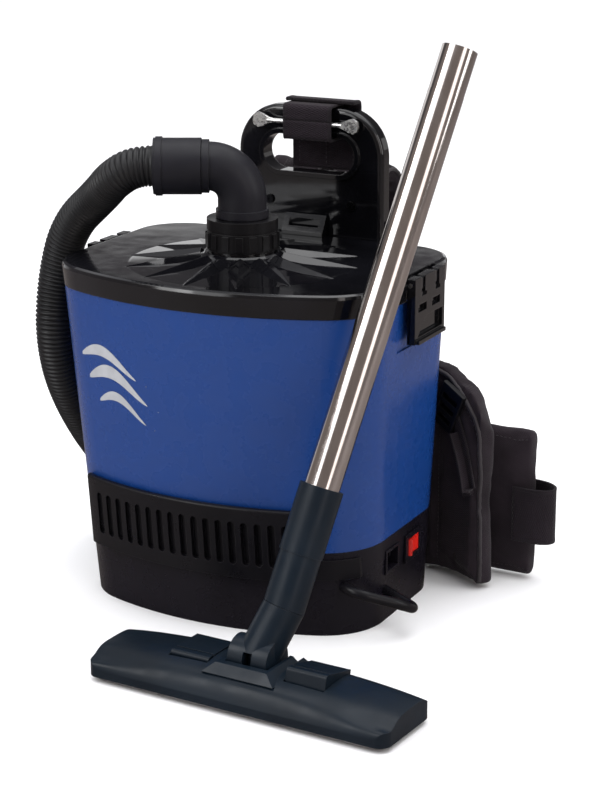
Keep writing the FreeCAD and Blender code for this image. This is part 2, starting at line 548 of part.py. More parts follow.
left_wing = wall_strip([V(-104, PAD_Y + 16, 0), V(-132, 172, 0), V(-150, 192, 0)], 22, 2, 154)
save("belt_sleeve_left", left_wing)
left_loop = wall_strip([V(-139.5, 200.6, 0), V(-124, 206, 0), V(-108, 200, 0)], 3.2, 42, 98)
save("belt_loop_left", left_loop)

# ---- floor tool (built in its own frame, then placed) -------------------------------------------
def placed(shape):
    s = shape.copy()
    s.rotate(V(0, 0, 0), Z, TOOL_YAW)
    s.translate(TOOL_AT)
    return s


hx, hy = TOOL_LEN / 2, TOOL_DEEP / 2


def arch(x, top):
    """Front-to-back section of the cover: upright skirts, a steep round front and a rounded back."""
    pts = [V(x, -hy, 12), V(x, -hy + 2.6, 18), V(x, -hy + 9, top - 8), V(x, -hy + 20, top - 3),
           V(x, -4, top - 0.2), V(x, 12, top), V(x, hy - 13, top - 2.5), V(x, hy - 4, top - 9), V(x, hy, 12)]
    curve = Part.BSplineCurve()
    curve.interpolate(pts)
    return Part.Wire([curve.toShape(), Part.LineSegment(pts[-1], V(x, hy, 5)).toShape(),
                      Part.LineSegment(V(x, hy, 5), V(x, -hy, 5)).toShape(),
                      Part.LineSegment(V(x, -hy, 5), pts[0]).toShape()])


shell = Part.makeLoft([arch(-hx, 26.5), arch(-70, 33.6), arch(0, 34.8), arch(70, 33.6), arch(hx, 26.5)],
                      True, False)
shell = shell.common(rounded(box(-hx, hx, -hy, hy, 0, 50), 11, upright))
px, py, pz = PIVOT.x, PIVOT.y, PIVOT.z


def level(x0, x1, y0, y1, z):
    return Part.makePolygon([V(x0, y0, z), V(x1, y0, z), V(x1, y1, z), V(x0, y1, z), V(x0, y0, z)])


plinth = Part.makeLoft([level(-36, 36, -30, 33, 30), level(-25.5, 25.5, -23, 29, 38.5)], True, True)
shell = shell.fuse(plinth)
shell = shell.cut(box(-hx + 4, hx - 4, -hy + 4, hy - 4, 0, 15.6))
saddle = box(px - 20.5, px + 22.5, py - 20.5, py + 24, 14, 60)
saddle = saddle.fuse(box(px - 24, px + 30, py + 17, hy + 2, 19, 60))
shell = shell.cut(saddle)
tongue = box(px - 4, px + 4, py - 22, hy - 3, 14, 18.6).fuse(box(px - 4, px + 4, py - 9, py + 9, 18, pz))
tongue = tongue.fuse(Part.makeCylinder(9, 8, V(px - 4, py, pz), X))
shell = shell.fuse(tongue).cut(rod(4.0, V(px - 5, py, pz), V(px + 5, py, pz)))
PED_Y, PED_Z = 24.0, 24.0
for s in (1, -1):
    x0, x1 = (38, 78) if s > 0 else (-78, -38)
    shell = shell.cut(box(x0, x1, -17, 32, 18.5, 40))
for x in (-84, 35.5):
    shell = shell.cut(rod(2.0, V(x, PED_Y, PED_Z), V(x + 48.5, PED_Y, PED_Z)))
for x in (-112, 112):
    shell = shell.cut(box(x - 8, x + 8, hy - 19, hy + 1, -1, 18.5))
shell = shell.cut(rod(2.0, V(-122, hy - 9.5, 9), V(122, hy - 9.5, 9)))
save("tool_cover", placed(shell.removeSplitter()))

sole = rounded(box(-hx + 4.3, hx - 4.3, -hy + 4.3, hy - 21, 2.0, 6.0), 10, upright)
sole = sole.cut(box(-118, 118, -12, 4, 0, 8))
for y in (-31, 12.6):
    sole = sole.cut(box(-134, 134, y - 3.2, y + 3.2, 0, 8))
save("sole_plate", placed(sole))
brush = [box(-133, 133, y - 2.6, y + 2.6, 0.6, 11.2) for y in (-31, 12.6)]
save("brush_strips", *[placed(b) for b in brush])

axle_y = hy - 9.5
save("tool_pins", placed(rod(4.0, V(px - 17, py, pz), V(px + 17, py, pz))),
     *[placed(rod(2.0, V(x, PED_Y, PED_Z), V(x + 47, PED_Y, PED_Z))) for x in (-83, 36)],
     placed(rod(2.0, V(-121, axle_y, 9), V(121, axle_y, 9))))
for name, x in (("tool_wheel_left", -112), ("tool_wheel_right", 112)):
    wheel = pipe(8.6, 2.05, V(x - 6, axle_y, 9), V(x + 6, axle_y, 9))
    save(name, placed(wheel))


def pedal(x0, x1, tip):
    """Rocking pedal on a rear axle, flush when it is down; tip turns it up."""
    p = box(x0 + 0.5, x1 - 0.5, -14.5, 27.5, 20, 35.5)
    p = rounded(p, 3.5, lambda e: e.BoundBox.YMax < -14.4 and e.BoundBox.ZMin > 35.4)
    p = p.cut(box(x0 - 1, x1 + 1, -6, -4.4, 34.3, 37)).cut(box(x0 + 4, x1 - 4, -11, 20, 19, 31.5))
    p = p.cut(rod(2.05, V(x0 - 1, PED_Y, PED_Z), V(x1 + 1, PED_Y, PED_Z)))
    p.rotate(V(0, PED_Y, PED_Z), X, tip)
    return p


save("pedal_left", placed(pedal(-78, -38, 0)))
save("pedal_right", placed(pedal(38, 78, -13)))

# ---- swivel neck and wand -----------------------------------------------------------------------
LEAN = LEAN.normalize()
pivot = V(PIVOT)
pivot = FreeCAD.Rotation(Z, TOOL_YAW).multVec(pivot) + TOOL_AT
lower = (SEAM - pivot).normalize()
seam_axis = (LEAN + lower).normalize()
tilt_axis = FreeCAD.Rotation(Z, TOOL_YAW).multVec(X)


def half_space(point, normal, size=400):
    f = Part.makePlane(size, size, point, normal)
    c = f.CenterOfMass
    f.translate(point - c)
    return f.extrude(normal * size)


yoke = rod(NECK_R, pivot, SEAM + lower * 30)
yoke = yoke.fuse(rod(18.5, pivot - tilt_axis * 19.5, pivot + tilt_axis * 19.5))
yoke = yoke.cut(half_space(SEAM - seam_axis * 0.2, seam_axis))
yoke = yoke.cut(rod(14.5, pivot + lower * 22, SEAM + lower * 40))
yoke = yoke.cut(rod(SPIGOT_R + 0.2, SEAM - seam_axis * 6, SEAM + seam_axis * 2))
yoke = yoke.cut(rod(4.06, pivot - tilt_axis * 17.4, pivot + tilt_axis * 17.4))
yoke = yoke.cut(placed(box(px - 4.5, px + 4.5, py - 40, py + 40, pz - 40, pz + 9.6)))
save("tool_yoke", yoke.removeSplitter())
neck = rod(NECK_R, SEAM - LEAN * 30, SEAM + LEAN * (NECK_LEN - 22))
neck = neck.fuse(rod(NECK_R + 0.9, SEAM + LEAN * (NECK_LEN - 60), SEAM + LEAN * NECK_LEN))
neck = neck.cut(half_space(SEAM + seam_axis * 0.2, seam_axis * -1))
neck = neck.cut(rod(14.5, SEAM - LEAN * 40, SEAM + LEAN * (WAND_FROM + 1)))
neck = neck.cut(rod(TUBE_R, SEAM + LEAN * WAND_FROM, SEAM + LEAN * (NECK_LEN + 2)))
neck = neck.fuse(pipe(SPIGOT_R, SPIGOT_R - 1.8, SEAM - seam_axis * 5.5, SEAM + seam_axis * 3))
save("tool_neck", neck.removeSplitter())
swage = SEAM + LEAN * (WAND_TO - SWAGE_LEN)
tube = pipe(TUBE_R, TUBE_R - TUBE_WALL, SEAM + LEAN * WAND_FROM, swage)
tube = tube.fuse(pipe(SWAGE_R, SWAGE_R - TUBE_WALL, swage - LEAN * 3, SEAM + LEAN * WAND_TO))
save("wand_tube", tube.removeSplitter())
print("pivot", pivot, "tilt axis", tilt_axis, "seam axis", seam_axis, "lean", LEAN)
print("wand end", SEAM + LEAN * WAND_TO, "cuff end", c1, "out", OUT, "hose end", end, "go", go)
print("hand tube end", bend[-1], (bend[-1] - bend[-2]).normalize(), "joint", MOTOR, "rocker", ROCK)
print("air slider", a, b, "sides at switch", sx, "inlet", ix)
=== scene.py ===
import math

import bmesh
import bpy
import numpy as np
from mathutils import Matrix, Vector, noise
from mathutils.bvhtree import BVHTree


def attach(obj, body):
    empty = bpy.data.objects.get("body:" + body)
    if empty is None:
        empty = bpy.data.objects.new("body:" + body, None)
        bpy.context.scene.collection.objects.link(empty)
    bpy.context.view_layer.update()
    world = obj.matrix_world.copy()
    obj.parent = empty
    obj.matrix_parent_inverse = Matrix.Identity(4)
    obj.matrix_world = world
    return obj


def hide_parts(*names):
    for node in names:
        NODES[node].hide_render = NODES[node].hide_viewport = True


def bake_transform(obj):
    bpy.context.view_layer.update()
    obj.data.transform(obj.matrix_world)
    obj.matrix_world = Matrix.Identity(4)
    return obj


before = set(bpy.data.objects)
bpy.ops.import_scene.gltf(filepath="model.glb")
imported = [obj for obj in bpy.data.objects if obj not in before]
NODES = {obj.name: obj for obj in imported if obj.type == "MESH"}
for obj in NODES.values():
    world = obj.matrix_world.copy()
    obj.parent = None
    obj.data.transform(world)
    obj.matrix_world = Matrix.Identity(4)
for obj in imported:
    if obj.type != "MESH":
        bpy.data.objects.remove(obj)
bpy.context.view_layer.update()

MM = 0.001
UP = Vector((0, 0, 1))
RIGHT = Vector((1, 0, 0))


# ---- small tools ---------------------------------------------------------------------------------
def add(name, mesh):
    obj = bpy.data.objects.new(name, mesh)
    bpy.context.collection.objects.link(obj)
    return obj


def mesh_from(name, verts, faces):
    """Smooth-shaded mesh."""
    mesh = bpy.data.meshes.new(name)
    mesh.from_pydata([tuple(v) for v in verts], [], faces)
    mesh.polygons.foreach_set("use_smooth", [True] * len(mesh.polygons))
    mesh.update()
    return mesh


def grid_uv(mesh, columns, rows, length, girth):
    """UVs in metres for a tube whose faces run round it row by row; its end caps get none."""
    layer = mesh.uv_layers.new(name="UVMap")
    for i, poly in enumerate(mesh.polygons):
        row, column = divmod(i, columns)
        if row >= rows - 1:
            continue
        corners = ((row, column), (row, column + 1), (row + 1, column + 1), (row + 1, column))
        for loop, (r, c) in zip(poly.loop_indices, corners):
            layer.data[loop].uv = (length * r / (rows - 1), girth * c / columns)


def finish_piece(obj, mat, body):
    """Gives a new piece its material and the body that it rides on."""
    obj.data.materials.clear()
    obj.data.materials.append(mat)
    if body:
        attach(obj, body)
    return obj


def spline_points(points, step):
    """Evenly spaced points along the NURBS spline that has these control points."""
    curve = bpy.data.curves.new("route", "CURVE")
    curve.dimensions = "3D"
    spline = curve.splines.new("NURBS")
    spline.points.add(len(points) - 1)
    for p, q in zip(spline.points, points):
        p.co = (*q, 1.0)
    spline.order_u = 3
    spline.use_endpoint_u = True
    spline.resolution_u = 24
    obj = add("route", curve)
    mesh = bpy.data.meshes.new_from_object(obj)
    line = [v.co.copy() for v in mesh.vertices]
    bpy.data.objects.remove(obj)
    bpy.data.meshes.remove(mesh)
    return resample(line, step)


def resample(line, step):
    """The same line with evenly spaced points, about step apart."""
    reached = [0.0]
    for a, b in zip(line, line[1:]):
        reached.append(reached[-1] + (b - a).length)
    count = max(2, round(reached[-1] / step) + 1)
    out, k = [], 0
    for i in range(count):
        along = reached[-1] * i / (count - 1)
        while k < len(reached) - 2 and reached[k + 1] < along:
            k += 1
        span = reached[k + 1] - reached[k] or 1.0
        out.append(line[k].lerp(line[k + 1], (along - reached[k]) / span))
    return out


def transport(line, first_up):
    """Frames (tangent, side, up) carried along the line without twist."""
    frames, up, last = [], Vector(first_up), len(line) - 1
    for i in range(len(line)):
        tangent = (line[min(i + 1, last)] - line[max(i - 1, 0)]).normalized()
        up = (up - tangent * up.dot(tangent)).normalized()
        frames.append((tangent, tangent.cross(up).normalized(), up.copy()))
    return frames


def sweep_section(name, line, section, first_up, caps=True):
    """Tube along a line: section(along) gives its (side, up) offsets, along metres from the start."""
    verts, faces, along = [], [], 0.0
    outline = [Vector(q) for q in section(0.0)]
    count, rows = len(outline), len(line)
    for i, (p, (_, side, up)) in enumerate(zip(line, transport(line, first_up))):
        if i:
            along += (p - line[i - 1]).length
        verts += [p + side * a + up * b for a, b in section(along)]
    for i in range(rows - 1):
        here, ahead = i * count, (i + 1) * count
        for k in range(count):
            m = (k + 1) % count
            faces.append((here + k, here + m, ahead + m, ahead + k))
    if caps:
        faces.append(tuple(range(count - 1, -1, -1)))
        faces.append(tuple((rows - 1) * count + k for k in range(count)))
    mesh = mesh_from(name, verts, faces)
    girth = sum((outline[k] - outline[(k + 1) % count]).length for k in range(count))
    grid_uv(mesh, count, rows, along, girth)
    bm = bmesh.new()
    bm.from_mesh(mesh)
    bmesh.ops.recalc_face_normals(bm, faces=bm.faces)
    bm.to_mesh(mesh)
    bm.free()
    return mesh


def ring(radius, count):
    angles = [2 * math.pi * k / count for k in range(count)]
    return [(radius * math.cos(a), radius * math.sin(a)) for a in angles]


# ---- node materials ------------------------------------------------------------------------------
class Mat:
    """A Principled material with helpers that add texture nodes in object or UV space."""

    def __init__(self, name, color, rough, metal=0.0, coat=0.0, sheen=0.0, uv=False):
        self.material = bpy.data.materials.new(name)
        self.material.use_nodes = True
        self.tree = self.material.node_tree
        self.bsdf = self.tree.nodes["Principled BSDF"]
        self.color = color
        self.set("Base Color", (*color, 1.0))
        self.set("Roughness", rough)
        self.set("Metallic", metal)
        self.set("Coat Weight", coat)
        self.set("Coat Roughness", 0.05)
        self.set("Sheen Weight", sheen)
        self.set("Sheen Roughness", 0.4)
        self.set("IOR", 1.5)
        self.vec = self.node("ShaderNodeTexCoord").outputs["UV" if uv else "Object"]

    def set(self, socket, value):
        self.bsdf.inputs[socket].default_value = value

    def node(self, kind, **values):
        """New node; each value goes to the input of that name, or else to the node's own setting."""
        made = self.tree.nodes.new(kind)
        for key, value in values.items():
            if key in made.inputs:
                made.inputs[key].default_value = value
            else:
                setattr(made, key, value)
        return made

    def link(self, a, b):
        self.tree.links.new(a, b)

    def noise(self, scale, detail=3.0, stretch=None):
        """Noise with scale features per metre, drawn out along an axis by a small stretch."""
        texture = self.node("ShaderNodeTexNoise", Scale=scale, Detail=detail, Roughness=0.5)
        vec = self.vec
        if stretch:
            mapping = self.node("ShaderNodeMapping")
            mapping.inputs["Scale"].default_value = stretch
            self.link(vec, mapping.inputs["Vector"])
            vec = mapping.outputs["Vector"]
        self.link(vec, texture.inputs["Vector"])
        return texture.outputs["Fac"]

    def math(self, operation, *values):
        made = self.node("ShaderNodeMath", operation=operation)
        for socket, value in zip(made.inputs, values):
            if isinstance(value, (int, float)):
                socket.default_value = value
            else:
                self.link(value, socket)
        return made.outputs[0]

    def ranged(self, value, low, high, to_low, to_high):
        made = self.node("ShaderNodeMapRange")
        names = ("From Min", "From Max", "To Min", "To Max")
        for key, number in zip(names, (low, high, to_low, to_high)):
            made.inputs[key].default_value = number
        self.link(value, made.inputs["Value"])
        return made.outputs["Result"]

    def tint(self, fac, other, low=0.35, high=0.65):
        """Mixes the base colour towards other where fac is high."""
        mix = self.node("ShaderNodeMix", data_type="RGBA")
        socket = self.bsdf.inputs["Base Color"]
        if socket.is_linked:
            self.link(socket.links[0].from_socket, mix.inputs[6])
        else:
            mix.inputs[6].default_value = (*self.color, 1.0)
        mix.inputs[7].default_value = (*other, 1.0)
        self.link(self.ranged(fac, low, high, 0.0, 1.0), mix.inputs[0])
        self.link(mix.outputs[2], socket)

    def roughness(self, fac, low, high):
        self.link(self.ranged(fac, 0.3, 0.7, low, high), self.bsdf.inputs["Roughness"])

    def bump(self, fac, distance):
        """Bump of this height in metres, over any bump made before."""
        made = self.node("ShaderNodeBump", Strength=1.0, Distance=distance)
        self.link(fac, made.inputs["Height"])
        socket = self.bsdf.inputs["Normal"]
        if socket.is_linked:
            self.link(socket.links[0].from_socket, made.inputs["Normal"])
        self.link(made.outputs["Normal"], socket)

    def worn_edges(self, other, radius=0.0007):
        """Edges polished by handling: lighter where a rounded normal leaves the true one."""
        bevel = self.node("ShaderNodeBevel", samples=4)
        bevel.inputs["Radius"].default_value = radius
        geo = self.node("ShaderNodeNewGeometry")
        dot = self.node("ShaderNodeVectorMath", operation="DOT_PRODUCT")
        self.link(bevel.outputs["Normal"], dot.inputs[0])
        self.link(geo.outputs["Normal"], dot.inputs[1])
        edge = self.ranged(dot.outputs["Value"], 0.97, 0.7, 0.0, 0.6)
        patchy = self.ranged(self.noise(90), 0.35, 0.6, 0.2, 1.0)
        self.tint(self.math("MULTIPLY", edge, patchy), other, 0.0, 1.0)
        bumps = [n for n in self.tree.nodes if n.bl_idname == "ShaderNodeBump"]
        first = next((n for n in bumps if not n.inputs["Normal"].is_linked), self.bsdf)
        self.link(bevel.outputs["Normal"], first.inputs["Normal"])


def moulded(name, color, rough, grain, depth, edge, coat=0.0):
    """Moulded plastic: faint mottling, spark-eroded grain this deep, edges worn to another colour."""
    m = Mat(name, color, rough, coat=coat)
    dark = tuple(c * 0.72 for c in color)
    m.tint(m.noise(14, 4), dark, 0.42, 0.72)
    m.roughness(m.noise(45, 4), max(0.03, rough * 0.8), rough * 1.25)
    if depth:
        m.bump(m.noise(grain, 2), depth)
    m.worn_edges(edge)
    m.set("Specular IOR Level", 0.2)
    return m.material


def woven(name, color, light, pitch, depth, sheen, uv=False):
    """Plain weave of threads a pitch apart and depth high, with colour flecks and fuzz."""
    m = Mat(name, color, 0.85, sheen=sheen, uv=uv)
    axes = m.node("ShaderNodeSeparateXYZ")
    m.link(m.vec, axes.inputs[0])
    waves = 2 * math.pi / pitch
    if uv:
        warp, weft = axes.outputs[0], axes.outputs[1]
    else:
        warp, weft = m.math("ADD", axes.outputs[0], axes.outputs[1]), axes.outputs[2]
    wander = m.noise(120, 2)
    warp = m.math("SINE", m.math("ADD", m.math("MULTIPLY", warp, waves), wander))
    weft = m.math("SINE", m.math("ADD", m.math("MULTIPLY", weft, waves), wander))
    weave = m.math("MULTIPLY", warp, weft)
    m.tint(weave, light, -0.6, 1.4)
    m.tint(m.noise(26, 5), tuple(c * 0.55 for c in color), 0.45, 0.8)
    m.tint(m.noise(800, 2), tuple(c * 1.6 for c in light), 0.66, 0.95)
    m.bump(weave, depth)
    m.bump(m.noise(1500, 2), depth * 0.5)
    m.set("Specular IOR Level", 0.15)
    return m.material


def plastics():
    """Moulded plastics: colour, roughness, grain per metre and its depth, colour of worn edges."""
    return [
        moulded("base_black", (0.0068, 0.0058, 0.0092), 0.28, 500, 0.00001, (0.05, 0.05, 0.055)),
        moulded("satin_black", (0.0052, 0.0048, 0.0066), 0.32, 1100, 0.00002, (0.05, 0.05, 0.055)),
        moulded("matt_black", (0.0036, 0.0034, 0.0044), 0.36, 1200, 0.00002, (0.05, 0.05, 0.05)),
        moulded("matt_grey", (0.0090, 0.0088, 0.0125), 0.42, 1400, 0.00004, (0.05, 0.052, 0.058)),
        moulded("tool_black", (0.0042, 0.0088, 0.0150), 0.36, 1300, 0.00004, (0.05, 0.06, 0.075)),
        moulded("grey_plastic", (0.05, 0.052, 0.058), 0.5, 900, 0.00003, (0.12, 0.12, 0.13)),
        moulded("switch_red", (0.62, 0.016, 0.010), 0.28, 300, 0.0, (0.8, 0.1, 0.08), coat=0.4)]


def fabrics():
    """Woven stuffs: thread colour, light thread, pitch and depth in metres, sheen."""
    return [
        woven("pad_fabric", (0.0145, 0.0105, 0.0138), (0.0300, 0.0220, 0.0285), 0.0019, 0.00020, 0.07),
        woven("webbing", (0.0110, 0.0080, 0.0108), (0.0240, 0.0180, 0.0235), 0.0021, 0.00022, 0.06, uv=True),
        woven("filter_felt", (0.62, 0.62, 0.58), (0.75, 0.75, 0.72), 0.0012, 0.0001, 0.1),
        woven("bag_paper", (0.60, 0.55, 0.45), (0.72, 0.68, 0.58), 0.0011, 0.00006, 0.1)]


def gloss_black():
    """Polished lid and back plate: slight waviness, fine scuffs, soft edges."""
    m = Mat("gloss_black", (0.0015, 0.0015, 0.002), 0.07, coat=0.2)
    m.set("Specular IOR Level", 0.35)
    m.tint(m.noise(6, 3), (0.006, 0.006, 0.008), 0.4, 0.7)
    m.roughness(m.noise(60, 5), 0.045, 0.11)
    m.bump(m.noise(18, 2), 0.00012)
    m.worn_edges((0.02, 0.02, 0.022), 0.0012)
    return m.material


def drum_blue():
    m = Mat("drum_blue", (0.0055, 0.036, 0.168), 0.27, coat=0.12)
    m.set("Specular IOR Level", 0.35)
    m.tint(m.noise(5, 3), (0.005, 0.032, 0.150), 0.4, 0.7)
    m.roughness(m.noise(50, 5), 0.22, 0.33)
    m.bump(m.noise(700, 2), 0.00002)
    m.worn_edges((0.05, 0.11, 0.33), 0.0008)
    return m.material


def chrome_tube():
    """Drawn tube: faint streaks along its length."""
    m = Mat("chrome_tube", (0.56, 0.52, 0.50), 0.11, metal=1.0)
    m.tint(m.noise(90, 3, stretch=(1.0, 0.9, 0.06)), (0.48, 0.44, 0.42), 0.35, 0.7)
    m.roughness(m.noise(240, 3, stretch=(1.0, 1.0, 0.05)), 0.08, 0.14)
    return m.material


def zinc():
    """Plated fasteners; the screws of the back plate at one height are blackened."""
    m = Mat("zinc", (0.62, 0.62, 0.60), 0.3, metal=1.0)
    m.tint(m.noise(300, 4), (0.42, 0.42, 0.43), 0.4, 0.7)
    m.roughness(m.noise(400, 3), 0.2, 0.42)
    m.bump(m.noise(900, 2), 0.00003)
    axes = m.node("ShaderNodeSeparateXYZ")
    m.link(m.vec, axes.inputs[0])
    screw_z, reach = 0.361, 0.008
    off = m.math("ABSOLUTE", m.math("SUBTRACT", axes.outputs[2], screw_z))
    m.tint(m.math("LESS_THAN", off, reach), (0.012, 0.012, 0.014), 0.0, 1.0)
    return m.material


def steel_plate():
    m = Mat("steel_plate", (0.55, 0.55, 0.57), 0.3, metal=1.0)
    m.roughness(m.noise(300, 3, stretch=(0.04, 1, 1)), 0.2, 0.45)
    m.tint(m.noise(200, 3, stretch=(0.04, 1, 1)), (0.38, 0.38, 0.40))
    return m.material


def core_steel():
    """Edges of thin stacked sheets."""
    m = Mat("core_steel", (0.30, 0.30, 0.32), 0.5, metal=0.9)
    m.tint(m.noise(900, 2, stretch=(0.05, 0.05, 1)), (0.16, 0.12, 0.09))
    m.bump(m.noise(900, 2, stretch=(0.05, 0.05, 1)), 0.0001)
    return m.material


def aluminium():
    m = Mat("aluminium", (0.66, 0.67, 0.69), 0.36, metal=1.0)
    m.roughness(m.noise(220, 4), 0.28, 0.45)
    m.tint(m.noise(60, 3), (0.52, 0.53, 0.55))
    return m.material


def seal_rubber():
    m = Mat("seal_rubber", (0.016, 0.016, 0.016), 0.7)
    m.tint(m.noise(200, 4), (0.028, 0.027, 0.026))
    m.bump(m.noise(700, 2), 0.00006)
    return m.material


def hose_black():
    m = Mat("hose_black", (0.0055, 0.0056, 0.0068), 0.38)
    m.set("Specular IOR Level", 0.3)
    m.tint(m.noise(30, 4), (0.009, 0.009, 0.010), 0.4, 0.75)
    m.roughness(m.noise(80, 4), 0.34, 0.5)
    m.bump(m.noise(1200, 2), 0.00003)
    return m.material


def bristle():
    m = Mat("bristle", (0.02, 0.02, 0.021), 0.55, sheen=0.2)
    m.tint(m.noise(600, 3), (0.05, 0.05, 0.05))
    return m.material


def thread():
    m = Mat("thread", (0.016, 0.012, 0.0155), 0.7, sheen=0.1)
    m.tint(m.noise(1500, 2), (0.022, 0.018, 0.021))
    return m.material


def badge_grey():
    """Printed mark on the drum."""
    m = Mat("badge_grey", (0.36, 0.37, 0.39), 0.35, coat=0.2)
    m.tint(m.noise(80, 3), (0.31, 0.32, 0.34))
    m.bump(m.noise(900, 2), 0.00002)
    return m.material


SINGLES = (gloss_black, drum_blue, chrome_tube, zinc, steel_plate, core_steel, aluminium, seal_rubber,
           hose_black, bristle, thread, badge_grey)


def plain_name(material):
    """A material's name without the number that Blender adds to a second one of that name."""
    return material.name.split(".")[0]


MATS = {plain_name(m): m for m in plastics() + fabrics() + [make() for make in SINGLES]}
for node in NODES.values():
    for place in node.material_slots:
        place.material = MATS[plain_name(place.material)]

# ---- camera, light and floor ---------------------------------------------------------------------
EYE = Vector((0.9371, -1.7725, 0.7809))
TURN, RISE = 0.462, 0.282  # radians: the eye's turn about the upright and its height angle
RIGHT_OF_VIEW = Vector((math.cos(TURN), math.sin(TURN), 0))
TO_EYE = Vector((math.sin(TURN) * math.cos(RISE), -math.cos(TURN) * math.cos(RISE), math.sin(RISE)))
FLAT_TO_EYE = Vector((TO_EYE.x, TO_EYE.y, 0)).normalized()
FLOOR_REACH = 30


def camera():
    """Long lens at the height from which the lid and the front both show."""
    cam = add("camera", bpy.data.cameras.new("camera"))
    cam.data.lens = 100.76
    cam.data.sensor_width = 36.0
    cam.data.clip_start = 0.05
    axes = (RIGHT_OF_VIEW, TO_EYE.cross(RIGHT_OF_VIEW), TO_EYE)
    cam.matrix_world = Matrix(axes).transposed().to_4x4()
    cam.matrix_world.translation = EYE
    bpy.context.scene.camera = cam
    bpy.context.scene.view_settings.view_transform = "Standard"


def paper_floor():
    """Pale paper whose colour is painted darker for glossy rays only: a painted dark reflection of the floor
    in polished pieces, as under a low studio light.
    """
    corners = [(x * FLOOR_REACH, y * FLOOR_REACH, 0) for x, y in ((-1, -1), (1, -1), (1, 1), (-1, 1))]
    floor = add("floor", mesh_from("floor", corners, [(0, 1, 2, 3)]))
    m = Mat("floor_paper", (0.90, 0.90, 0.905), 0.65)
    m.tint(m.noise(3, 3), (0.885, 0.885, 0.895))
    m.bump(m.noise(900, 2), 0.00002)
    # painted reflection: for glossy rays only, the floor's colour is mixed to a dark brown-grey
    dim = m.node("ShaderNodeMix", data_type="RGBA")
    dim.inputs[7].default_value = (0.17, 0.145, 0.135, 1.0)
    color = m.bsdf.inputs["Base Color"]
    m.link(color.links[0].from_socket, dim.inputs[6])
    m.link(m.node("ShaderNodeLightPath").outputs["Is Glossy Ray"], dim.inputs[0])
    m.link(dim.outputs[2], color)
    floor.data.materials.append(m.material)


def softbox(name, at, aim, size, power):
    """Area light of this size in metres and power in watts, aimed at a point."""
    light = bpy.data.lights.new(name, "AREA")
    light.shape = "RECTANGLE"
    light.size, light.size_y = size
    light.energy = power
    obj = add(name, light)
    obj.location = at
    obj.rotation_euler = (Vector(at) - Vector(aim)).to_track_quat("Z", "Y").to_euler()
    return obj


class Sky:
    """The world's node tree, with helpers on the direction that a ray looks in."""

    def __init__(self, name):
        self.world = bpy.data.worlds.new(name)
        self.world.use_nodes = True
        self.tree = self.world.node_tree
        self.looking = self.tree.nodes.new("ShaderNodeTexCoord").outputs["Generated"]
        self.ray = self.tree.nodes.new("ShaderNodeLightPath").outputs

    def dot(self, direction):
        n = self.tree.nodes.new("ShaderNodeVectorMath")
        n.operation = "DOT_PRODUCT"
        self.tree.links.new(self.looking, n.inputs[0])
        n.inputs[1].default_value = direction
        return n.outputs["Value"]

    def step(self, value, start, end):
        """0 at start, 1 at end, smooth between them."""
        n = self.tree.nodes.new("ShaderNodeMapRange")
        n.interpolation_type = "SMOOTHSTEP"
        for key, number in zip(("From Min", "From Max", "To Min", "To Max"), (start, end, 0.0, 1.0)):
            n.inputs[key].default_value = number
        self.tree.links.new(value, n.inputs["Value"])
        return n.outputs["Result"]

    def mix(self, fac, a, b):
        n = self.tree.nodes.new("ShaderNodeMix")
        n.data_type = "RGBA"
        self.tree.links.new(fac, n.inputs[0])
        for socket, value in ((n.inputs[6], a), (n.inputs[7], b)):
            if isinstance(value, tuple):
                socket.default_value = (*value, 1.0)
            else:
                self.tree.links.new(value, socket)
        return n.outputs[2]

    def math(self, operation, *values):
        n = self.tree.nodes.new("ShaderNodeMath")
        n.operation = operation
        for socket, value in zip(n.inputs, values):
            self.tree.links.new(value, socket)
        return n.outputs[0]

    def times(self, a, b):
        return self.math("MULTIPLY", a, b)


def studio_world():
    """White backdrop behind, dim room in front with two upright strip lights, soft light overhead."""
    sky = Sky("studio")
    step, times = sky.step, sky.times
    z, front = sky.dot(UP), sky.dot(FLAT_TO_EYE)
    overhead, glossy = step(z, 0.50, 0.72), sky.ray["Is Glossy Ray"]
    color = sky.mix(step(front, -0.35, -0.8), (0.26, 0.225, 0.21), (1.05, 1.05, 1.06))
    for angle, tone in ((-50, (3.0, 3.0, 3.05)), (33, (2.7, 2.5, 2.42))):
        a = math.radians(angle)
        middle = FLAT_TO_EYE * math.cos(a) + RIGHT_OF_VIEW * math.sin(a)
        off = sky.math("ABSOLUTE", sky.dot(UP.cross(middle)))
        band = times(step(off, 0.20, 0.11), step(sky.dot(middle), 0.3, 0.5))
        upright = times(step(z, -0.05, 0.02), step(z, 0.66, 0.55))
        color = sky.mix(times(band, upright), color, tone)
    color = sky.mix(overhead, color, (1.55, 1.56, 1.6))
    behind = times(step(front, -0.2, -0.45), times(step(z, 0.190, 0.214), step(z, 0.62, 0.5)))
    color = sky.mix(times(behind, glossy), color, (0.10, 0.095, 0.10))
    color = sky.mix(times(overhead, glossy), color, (0.55, 0.55, 0.58))
    color = sky.mix(sky.ray["Is Camera Ray"], color, (1.0, 1.0, 1.0))
    background = sky.tree.nodes["Background"]
    sky.tree.links.new(color, background.inputs["Color"])
    background.inputs["Strength"].default_value = 1.0
    bpy.context.scene.world = sky.world


camera()
paper_floor()
studio_world()
softbox("key", (-1.5, -1.9, 1.9), (0, 0, 0.2), (1.2, 1.2), 26)
softbox("overhead", (0.2, 0.1, 2.4), (0.1, 0, 0), (2.4, 2.4), 42)
softbox("right_side", (2.1, 0.3, 1.0), (0.1, 0, 0.2), (0.8, 1.4), 12)

